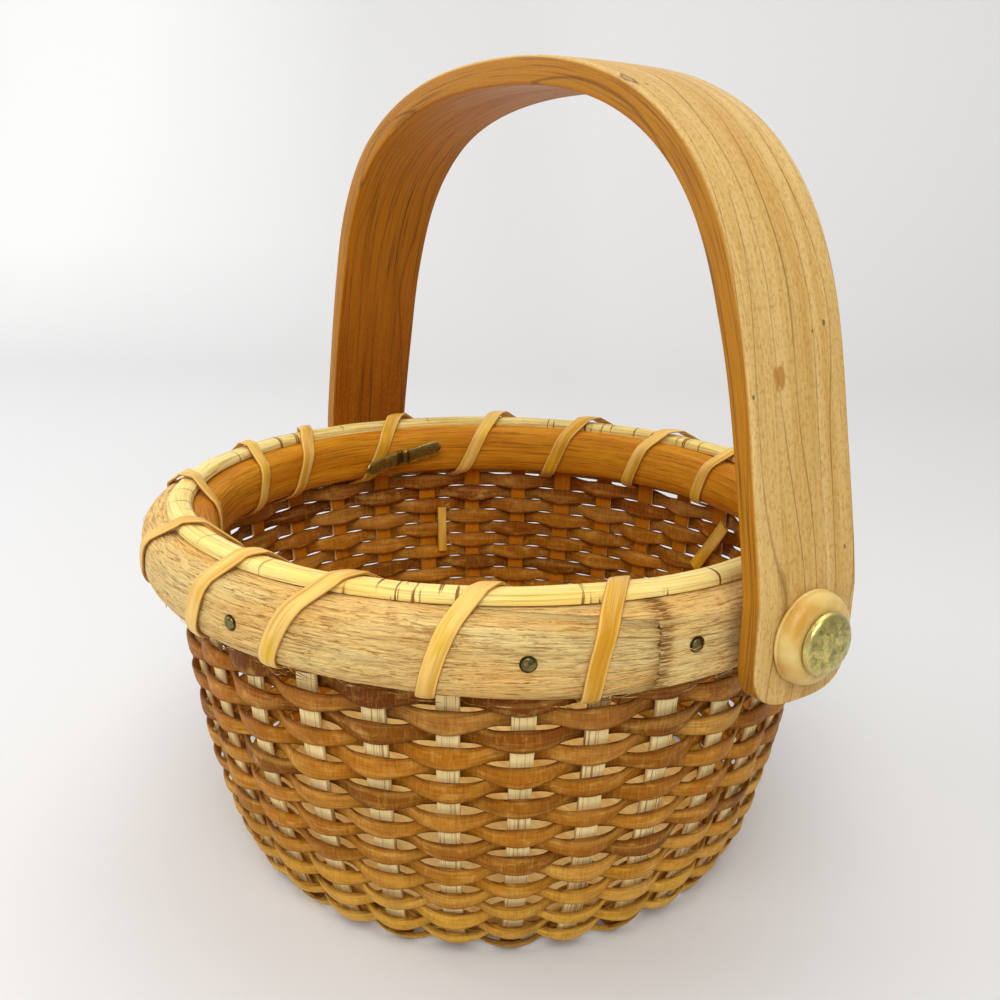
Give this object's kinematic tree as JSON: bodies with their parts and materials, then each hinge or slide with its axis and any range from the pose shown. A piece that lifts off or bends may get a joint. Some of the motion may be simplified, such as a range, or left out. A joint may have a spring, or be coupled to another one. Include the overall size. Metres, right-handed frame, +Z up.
{
  "type": "nantucket basket",
  "caption": "Small round woven cane basket with a turned wooden base, a lashed wooden rim and a bent wooden handle that swings on two brass brads.",
  "frame": {"origin": "on the ground under the middle of the base, which is also the bottom centre of the bounding box", "axes": "+Z up; +X along the handle's two pivots; +Y across them, away from the side the picture is taken from"},
  "size_m": [0.1984, 0.1719, 0.1865],
  "materials": {
    "base_wood": "satin, turned",
    "stake_cane": "matte, pale split cane",
    "weaver_cane": "satin, aged flat cane",
    "rim_wood": "matte, fibrous",
    "inner_rim_wood": "satin, honey coloured",
    "filler_cane": "satin, yellow",
    "lashing_cane": "satin, split cane",
    "handle_wood": "satin, bent wood",
    "bone": "polished bone or ivory look",
    "aged_brass": "dull, patinated"
  },
  "bodies": {
    "basket": {"base_disc": "base_wood", "stake_01": "stake_cane", "stake_02": "stake_cane", "stake_03": "stake_cane", "stake_04": "stake_cane", "stake_05": "stake_cane", "stake_06": "stake_cane", "stake_07": "stake_cane", "stake_08": "stake_cane", "stake_09": "stake_cane", "stake_10": "stake_cane", "stake_11": "stake_cane", "stake_12": "stake_cane", "stake_13": "stake_cane", "stake_14": "stake_cane", "stake_15": "stake_cane", "stake_16": "stake_cane", "stake_17": "stake_cane", "stake_18": "stake_cane", "stake_19": "stake_cane", "stake_20": "stake_cane", "stake_21": "stake_cane", "stake_22": "stake_cane", "stake_23": "stake_cane", "stake_24": "stake_cane", "stake_25": "stake_cane", "stake_26": "stake_cane", "stake_27": "stake_cane", "stake_28": "stake_cane", "stake_29": "stake_cane", "stake_30": "stake_cane", "stake_31": "stake_cane", "weaver_lower": "weaver_cane", "weaver_middle": "weaver_cane", "weaver_upper": "weaver_cane", "outer_rim": "rim_wood", "inner_rim": "inner_rim_wood", "rim_filler": "filler_cane", "rim_lashing": "lashing_cane", "tail_upright": "lashing_cane", "tail_slanted": "lashing_cane", "brad_near": "aged_brass", "brad_far": "aged_brass", "rim_nail_1": "aged_brass", "rim_nail_2": "aged_brass", "rim_nail_3": "aged_brass", "rim_nail_4": "aged_brass", "rim_nail_5": "aged_brass", "rim_nail_6": "aged_brass", "rim_nail_7": "aged_brass", "rim_nail_8": "aged_brass"},
    "handle": {"handle": "handle_wood", "washer_near": "bone", "washer_far": "bone"}
  },
  "joints": [
    {"name": "handle_swing", "type": "hinge", "parent": "basket", "child": "handle", "pos_m": [0, 0.008, 0.08], "axis": [1, 0, 0], "range_deg": [-115, 115]}
  ]
}
